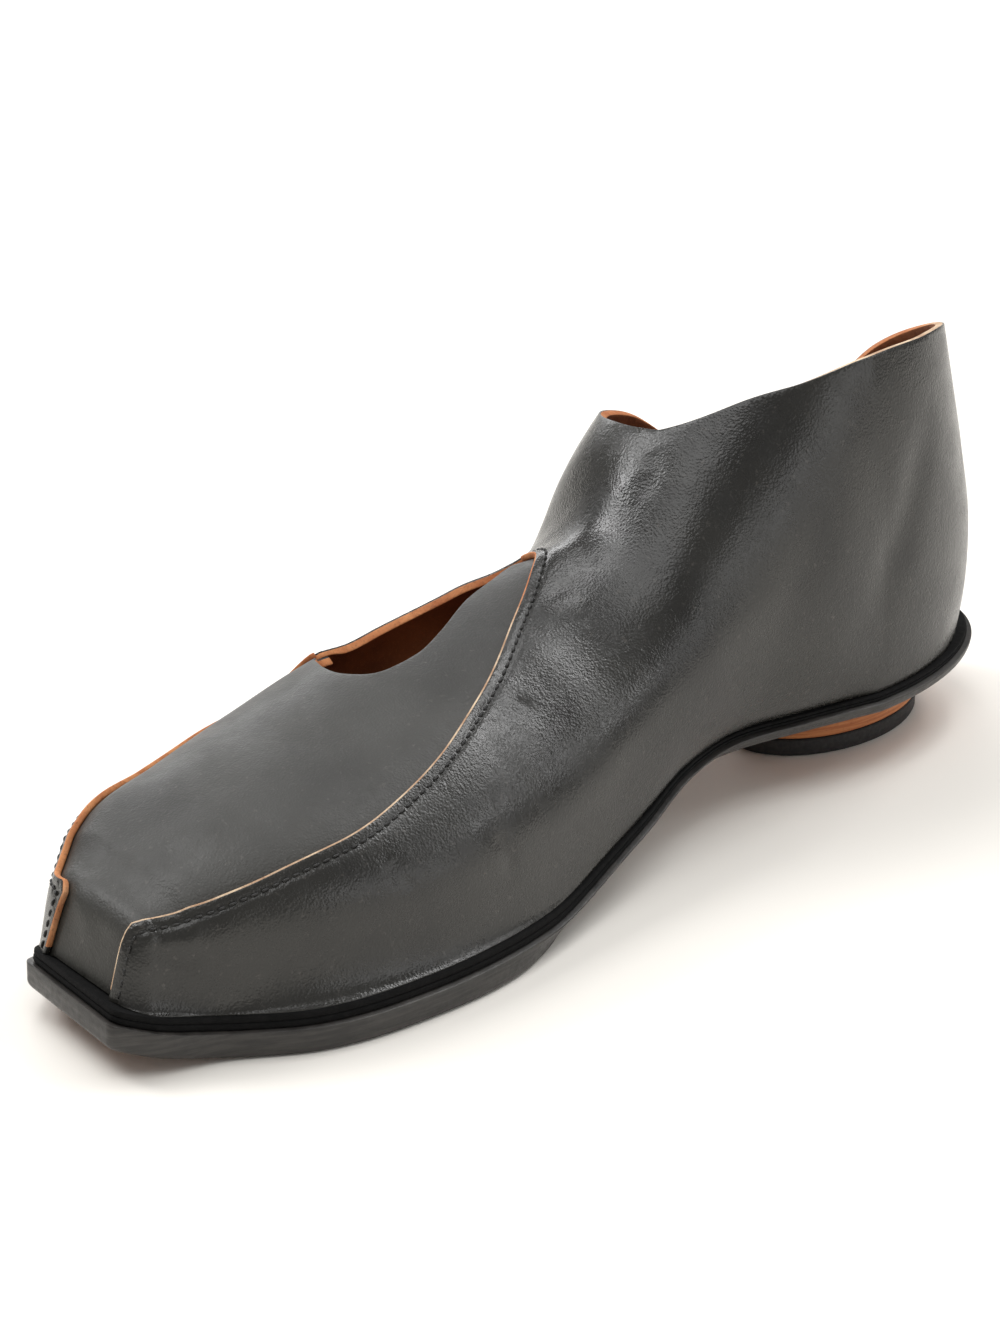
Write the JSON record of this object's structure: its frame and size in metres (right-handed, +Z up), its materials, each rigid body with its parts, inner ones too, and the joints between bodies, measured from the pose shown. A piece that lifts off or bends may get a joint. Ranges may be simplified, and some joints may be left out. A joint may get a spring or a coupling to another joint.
{
  "type": "slip-on shoe",
  "caption": "Low slip-on shoe for the right foot with a chiselled toe, plug vamp, cut-out at the instep, high collar and small stacked heel.",
  "frame": {"origin": "on the floor under the middle of the shoe's box", "axes": "+Z up, toe towards -Y and heel towards +Y, medial side of this right shoe towards +X"},
  "size_m": [0.0984, 0.28, 0.105],
  "materials": {
    "black_leather": "charcoal full-grain leather, low sheen",
    "insole_leather": "natural brown leather, smooth",
    "black_welt": "black dyed leather edge, waxed",
    "outsole_leather": "dark waxed leather edge, tan leather underside",
    "tan_leather": "natural tan stacked leather",
    "heel_rubber": "matt black rubber"
  },
  "bodies": {
    "root": {"upper": "black_leather", "insole": "insole_leather", "welt": "black_welt", "outsole": "outsole_leather", "heel_lift": "tan_leather", "heel_top_piece": "heel_rubber"}
  },
  "joints": []
}
